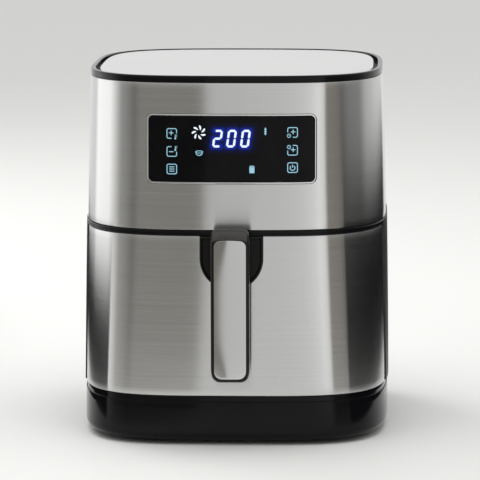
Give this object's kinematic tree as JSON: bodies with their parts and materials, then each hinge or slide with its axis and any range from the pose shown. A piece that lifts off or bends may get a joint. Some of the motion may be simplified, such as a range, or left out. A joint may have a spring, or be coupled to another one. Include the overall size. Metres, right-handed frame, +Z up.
{
  "type": "air fryer",
  "caption": "Drawer-type air fryer with a brushed steel body, a black touch display, a sliding pan drawer with a hanging grip and a lift-out crisper plate.",
  "frame": {"origin": "on the table under the middle of the whole machine, handle included", "axes": "+Z up, -Y towards the user on the drawer's side, +X to the user's right"},
  "size_m": [0.2794, 0.3606, 0.33],
  "materials": {
    "body_steel": "horizontal brushed",
    "top_steel": "satin",
    "bright_trim": "polished",
    "gloss_black": "gloss",
    "matte_black": "fine texture",
    "display_glass": "black tinted, gloss",
    "silicone": "matt",
    "nonstick": "satin nonstick coating",
    "circuit_board": "solder mask",
    "light_plastic": "translucent white",
    "aluminised_steel": "aluminised sheet",
    "heater_sheath": "oxidised sheath",
    "lamination": "varnished laminations",
    "bearing_bronze": "sintered"
  },
  "bodies": {
    "housing": {"base_shell": "gloss_black", "base_deck": "matte_black", "foot_front_left": "silicone", "foot_front_right": "silicone", "foot_rear_left": "silicone", "foot_rear_right": "silicone", "lower_shell": "matte_black", "upper_wrap": "body_steel", "upper_body": "matte_black", "rear_cover": "matte_black", "top_ring": "gloss_black", "top_plate": "top_steel", "display_lens": "display_glass", "display_frame": "bright_trim", "light_guide": "light_plastic", "control_board": "circuit_board", "chamber_liner": "aluminised_steel", "runner_left": "aluminised_steel", "runner_right": "aluminised_steel", "mid_deck": "matte_black", "thermistor_probe": "bright_trim", "thermal_fuse": "light_plastic", "heater_guard": "bright_trim", "heater_reflector": "aluminised_steel", "heating_element": "heater_sheath", "heater_clip_front": "bright_trim", "heater_clip_rear": "bright_trim", "motor_bridge": "aluminised_steel", "motor_stator": "lamination", "motor_cap": "aluminised_steel", "bearing_lower": "bearing_bronze", "bearing_upper": "bearing_bronze", "exhaust_duct": "aluminised_steel", "power_board": "circuit_board", "transformer": "lamination", "cord_gland": "matte_black", "interlock_switch": "matte_black"},
    "fan_rotor": {"motor_shaft": "bright_trim", "motor_rotor": "lamination", "hot_air_fan": "aluminised_steel", "cooling_fan": "matte_black"},
    "drawer": {"drawer_skin": "body_steel", "drawer_frame": "matte_black", "drawer_trim": "gloss_black", "drawer_back_panel": "matte_black", "handle_escutcheon": "gloss_black", "handle_grip": "gloss_black", "handle_insert": "body_steel", "handle_screw_upper": "bright_trim", "handle_screw_lower": "bright_trim", "pan": "nonstick", "pan_bracket": "aluminised_steel", "pan_screw_left": "bright_trim", "pan_screw_right": "bright_trim"},
    "crisper": {"crisper_plate": "nonstick", "plate_foot_front_left": "silicone", "plate_foot_front_right": "silicone", "plate_foot_rear_left": "silicone", "plate_foot_rear_right": "silicone"}
  },
  "joints": [
    {"name": "drawer_slide", "type": "slide", "parent": "housing", "child": "drawer", "axis": [0, -1, 0], "range_m": [0, 0.24]},
    {"name": "crisper_lift", "type": "slide", "parent": "drawer", "child": "crisper", "axis": [0, 0, 1], "range_m": [0, 0.09]},
    {"name": "fan_spin", "type": "hinge", "parent": "housing", "child": "fan_rotor", "pos_m": [0, 0.01778, 0.2125], "axis": [0, 0, 1], "continuous": true}
  ]
}
